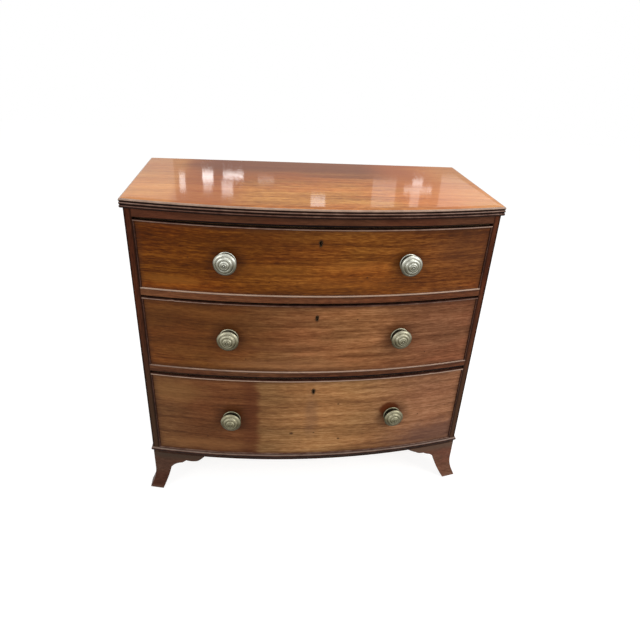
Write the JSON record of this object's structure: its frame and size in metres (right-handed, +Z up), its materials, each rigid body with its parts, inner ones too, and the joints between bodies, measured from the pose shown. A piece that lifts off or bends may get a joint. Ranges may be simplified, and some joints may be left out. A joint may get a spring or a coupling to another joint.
{
  "type": "bow front chest of drawers",
  "caption": "Low mahogany chest of drawers with a bowed front, cock-beaded drawers on turned brass knobs, a reeded top and outswept bracket feet.",
  "frame": {"origin": "on the floor, under the middle of the chest's overall box, knobs included", "axes": "+Z up, +X to the right of someone facing the chest, -Y out of the drawer fronts"},
  "size_m": [0.936, 0.4924, 0.872],
  "materials": {
    "top_mahogany": "french polished, worn",
    "front_mahogany": "french polished, fine straight grain",
    "dark_mahogany": "dark stained, waxed",
    "oak_lining": "unfinished, aged",
    "pine": "unfinished, aged",
    "brass": "turned, tarnished",
    "iron": "dull"
  },
  "bodies": {
    "carcass": {"back_boards": "pine", "back_rail": "pine", "base_bead": "dark_mahogany", "bottom_board": "pine", "drawer_stops": "pine", "foot_blocks": "pine", "frieze_rail": "dark_mahogany", "front_foot_left_end": "dark_mahogany", "front_foot_left_front": "dark_mahogany", "front_foot_right_end": "dark_mahogany", "front_foot_right_front": "dark_mahogany", "lower_dust_board": "pine", "lower_rail": "dark_mahogany", "rear_foot_left": "dark_mahogany", "rear_foot_right": "dark_mahogany", "runners_and_kickers": "pine", "side_left": "dark_mahogany", "side_right": "dark_mahogany", "stile_left": "dark_mahogany", "stile_right": "dark_mahogany", "top_board": "top_mahogany", "upper_dust_board": "pine", "upper_rail": "dark_mahogany"},
    "bottom_drawer": {"bottom_drawer_back": "oak_lining", "bottom_drawer_bottom": "pine", "bottom_drawer_cock_beads": "dark_mahogany", "bottom_drawer_escutcheon": "brass", "bottom_drawer_front": "front_mahogany", "bottom_drawer_knob_nuts": "brass", "bottom_drawer_knobs": "brass", "bottom_drawer_lock_case": "iron", "bottom_drawer_side_left": "oak_lining", "bottom_drawer_side_right": "oak_lining"},
    "bottom_lock_bolt": {"bottom_drawer_lock_bolt": "iron"},
    "middle_drawer": {"middle_drawer_back": "oak_lining", "middle_drawer_bottom": "pine", "middle_drawer_cock_beads": "dark_mahogany", "middle_drawer_escutcheon": "brass", "middle_drawer_front": "front_mahogany", "middle_drawer_knob_nuts": "brass", "middle_drawer_knobs": "brass", "middle_drawer_lock_case": "iron", "middle_drawer_side_left": "oak_lining", "middle_drawer_side_right": "oak_lining"},
    "middle_lock_bolt": {"middle_drawer_lock_bolt": "iron"},
    "top_drawer": {"top_drawer_back": "oak_lining", "top_drawer_bottom": "pine", "top_drawer_cock_beads": "dark_mahogany", "top_drawer_escutcheon": "brass", "top_drawer_front": "front_mahogany", "top_drawer_knob_nuts": "brass", "top_drawer_knobs": "brass", "top_drawer_lock_case": "iron", "top_drawer_side_left": "oak_lining", "top_drawer_side_right": "oak_lining"},
    "top_lock_bolt": {"top_drawer_lock_bolt": "iron"}
  },
  "joints": [
    {"name": "bottom_drawer_slide", "type": "slide", "parent": "carcass", "child": "bottom_drawer", "axis": [0, -1, 0], "range_m": [0, 0.3]},
    {"name": "middle_drawer_slide", "type": "slide", "parent": "carcass", "child": "middle_drawer", "axis": [0, -1, 0], "range_m": [0, 0.3]},
    {"name": "top_drawer_slide", "type": "slide", "parent": "carcass", "child": "top_drawer", "axis": [0, -1, 0], "range_m": [0, 0.3]},
    {"name": "bottom_bolt_slide", "type": "slide", "parent": "bottom_drawer", "child": "bottom_lock_bolt", "axis": [0, 0, 1], "range_m": [0, 0.011]},
    {"name": "middle_bolt_slide", "type": "slide", "parent": "middle_drawer", "child": "middle_lock_bolt", "axis": [0, 0, 1], "range_m": [0, 0.011]},
    {"name": "top_bolt_slide", "type": "slide", "parent": "top_drawer", "child": "top_lock_bolt", "axis": [0, 0, 1], "range_m": [0, 0.011]}
  ]
}
